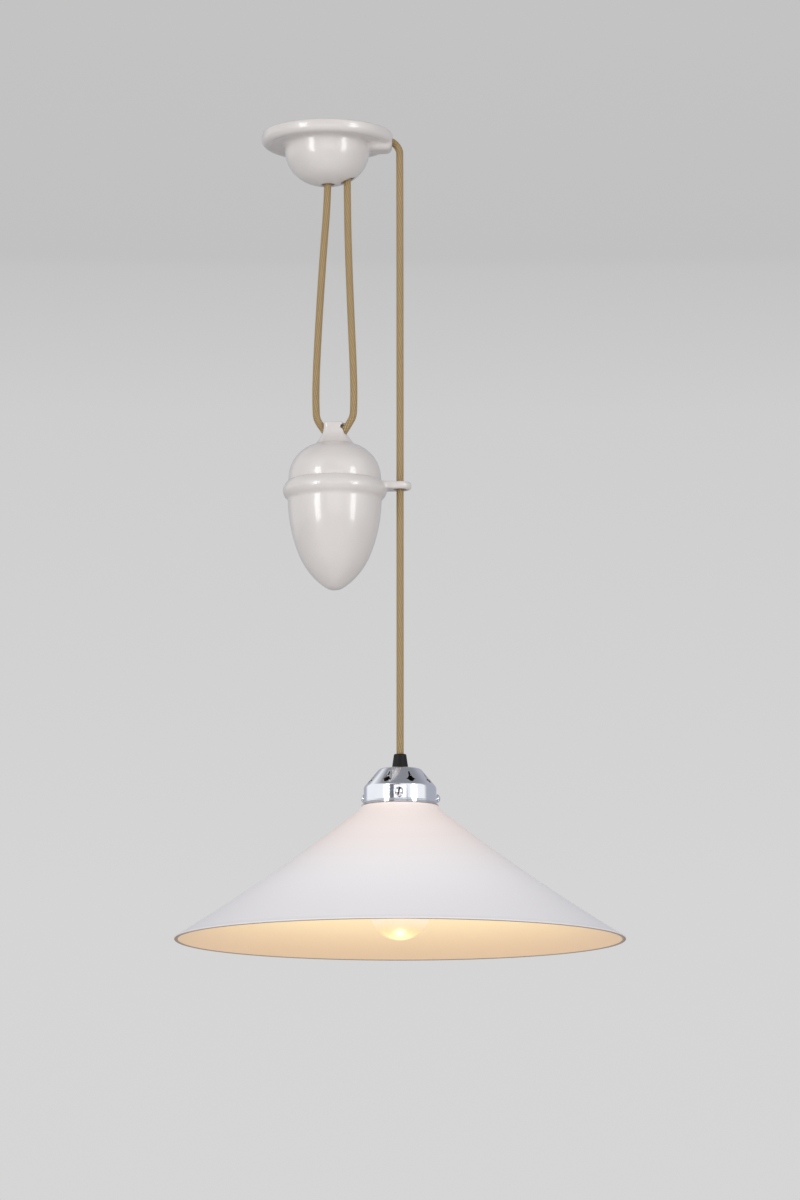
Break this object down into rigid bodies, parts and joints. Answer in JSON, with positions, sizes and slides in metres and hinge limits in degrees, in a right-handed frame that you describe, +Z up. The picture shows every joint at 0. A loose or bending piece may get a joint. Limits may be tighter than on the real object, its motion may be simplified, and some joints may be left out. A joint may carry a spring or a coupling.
{
  "type": "rise and fall pendant",
  "caption": "Ceiling pendant with a conical white shade on a braided cord, balanced by a ceramic acorn weight that rises as the shade is drawn down.",
  "frame": {"origin": "middle of the ceiling rose's top face, on the ceiling", "axes": "+Z up, +X from the rose towards the side where the cord leaves it, +Y away from the viewer of the front"},
  "size_m": [0.45, 0.45, 0.8255],
  "materials": {
    "white_ceramic": "glossy warm white glaze",
    "zinc_steel": "zinc-plated",
    "wheel_brass": "turned",
    "terminal_brass": "satin",
    "dark_plastic": "moulded",
    "black_plastic": "smooth moulded",
    "pale_plastic": "moulded",
    "wire_cover": "insulated copper",
    "braided_cord": "gold braided textile",
    "felt": "felt",
    "ballast_iron": "cast",
    "chromed_steel": "polished chrome",
    "opal_glass": "opal white, translucent",
    "holder_ceramic": "unglazed",
    "lamp_aluminium": "pressed",
    "frosted_glass": "frosted",
    "clear_glass": "clear"
  },
  "bodies": {
    "ceiling_rose": {"ceiling_cover": "white_ceramic", "mounting_plate": "zinc_steel", "ceiling_pulley_pin": "zinc_steel", "exit_roller_pin": "zinc_steel", "cord_anchor": "dark_plastic", "anchor_screws": "zinc_steel", "terminal_block": "pale_plastic", "terminal_screws": "terminal_brass", "earth_screw": "terminal_brass", "cover_screws": "zinc_steel", "rose_cord": "braided_cord", "cord_dead_end": "braided_cord", "wire_tails": "wire_cover"},
    "upper_wheel": {"ceiling_pulley": "wheel_brass"},
    "exit_wheel": {"exit_roller": "wheel_brass"},
    "counterweight": {"weight_cap": "white_ceramic", "weight_body": "white_ceramic", "weight_seal": "felt", "ballast": "ballast_iron", "tie_rod": "zinc_steel", "bridge_bar": "zinc_steel", "tie_nut": "zinc_steel", "weight_pulley_pin": "zinc_steel", "loop_cord": "braided_cord"},
    "lower_wheel": {"weight_pulley": "wheel_brass"},
    "pendant": {"drop_cord": "braided_cord", "cord_grip": "black_plastic", "gallery": "chromed_steel", "gallery_screws": "chromed_steel", "shade": "opal_glass", "shade_ring": "black_plastic", "lampholder_cap": "black_plastic", "lampholder_body": "black_plastic", "lampholder_insert": "holder_ceramic", "socket_shell": "terminal_brass", "lampholder_lead": "braided_cord", "centre_contact": "terminal_brass", "bulb_cap": "lamp_aluminium", "bulb_globe": "frosted_glass", "bulb_stem": "clear_glass"}
  },
  "joints": [
    {"name": "shade_lift", "type": "slide", "parent": "ceiling_rose", "child": "pendant", "axis": [0, 0, 1], "range_m": [-0.33, 0.14], "deforming": ["drop_cord"]},
    {"name": "weight_travel", "type": "slide", "parent": "ceiling_rose", "child": "counterweight", "axis": [0, 0, 1], "range_m": [-0.07, 0.165], "deforming": ["loop_cord"]},
    {"name": "upper_wheel_turn", "type": "hinge", "parent": "ceiling_rose", "child": "upper_wheel", "pos_m": [0.0295, 0, -0.013], "axis": [0, 1, 0], "range_deg": [-900, 2110]},
    {"name": "exit_wheel_turn", "type": "hinge", "parent": "ceiling_rose", "child": "exit_wheel", "pos_m": [0.057, 0, -0.0105], "axis": [0, 1, 0], "range_deg": [-1240, 2920]},
    {"name": "lower_wheel_turn", "type": "hinge", "parent": "counterweight", "child": "lower_wheel", "pos_m": [0.0084, 0, -0.3092], "axis": [0.342, 0.9397, 0], "range_deg": [-1120, 480]}
  ],
  "couplings": [
    {"joint": "weight_travel", "follows": "shade_lift", "ratio": -0.5},
    {"joint": "upper_wheel_turn", "follows": "shade_lift", "rad_per_m": -111.11},
    {"joint": "exit_wheel_turn", "follows": "shade_lift", "rad_per_m": -153.85},
    {"joint": "lower_wheel_turn", "follows": "shade_lift", "rad_per_m": 58.824}
  ]
}
